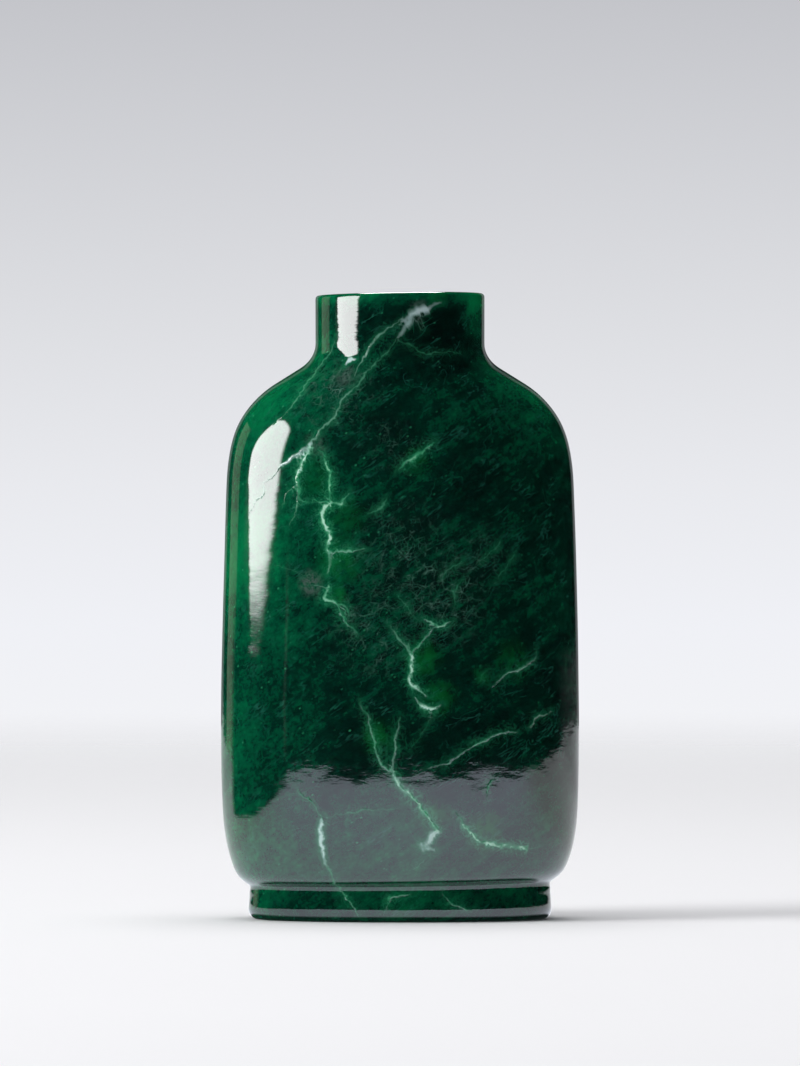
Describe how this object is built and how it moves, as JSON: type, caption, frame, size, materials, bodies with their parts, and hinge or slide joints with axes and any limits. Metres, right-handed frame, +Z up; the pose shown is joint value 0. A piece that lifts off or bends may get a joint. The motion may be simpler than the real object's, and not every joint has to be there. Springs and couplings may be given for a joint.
{
  "type": "snuff bottle",
  "caption": "Flattened stone snuff bottle with sloping shoulders, a straight round neck, a narrow mouth and an oval foot ring, hollow and open.",
  "frame": {"origin": "centre of the foot ring's underside, on the surface the bottle stands on", "axes": "+Z up through the mouth, X across the broad faces, and the faces look along -Y and +Y with the veined front at -Y"},
  "size_m": [0.035, 0.021, 0.061],
  "materials": {
    "jade": "high polish"
  },
  "bodies": {
    "root": {"bottle": "jade"}
  },
  "joints": []
}
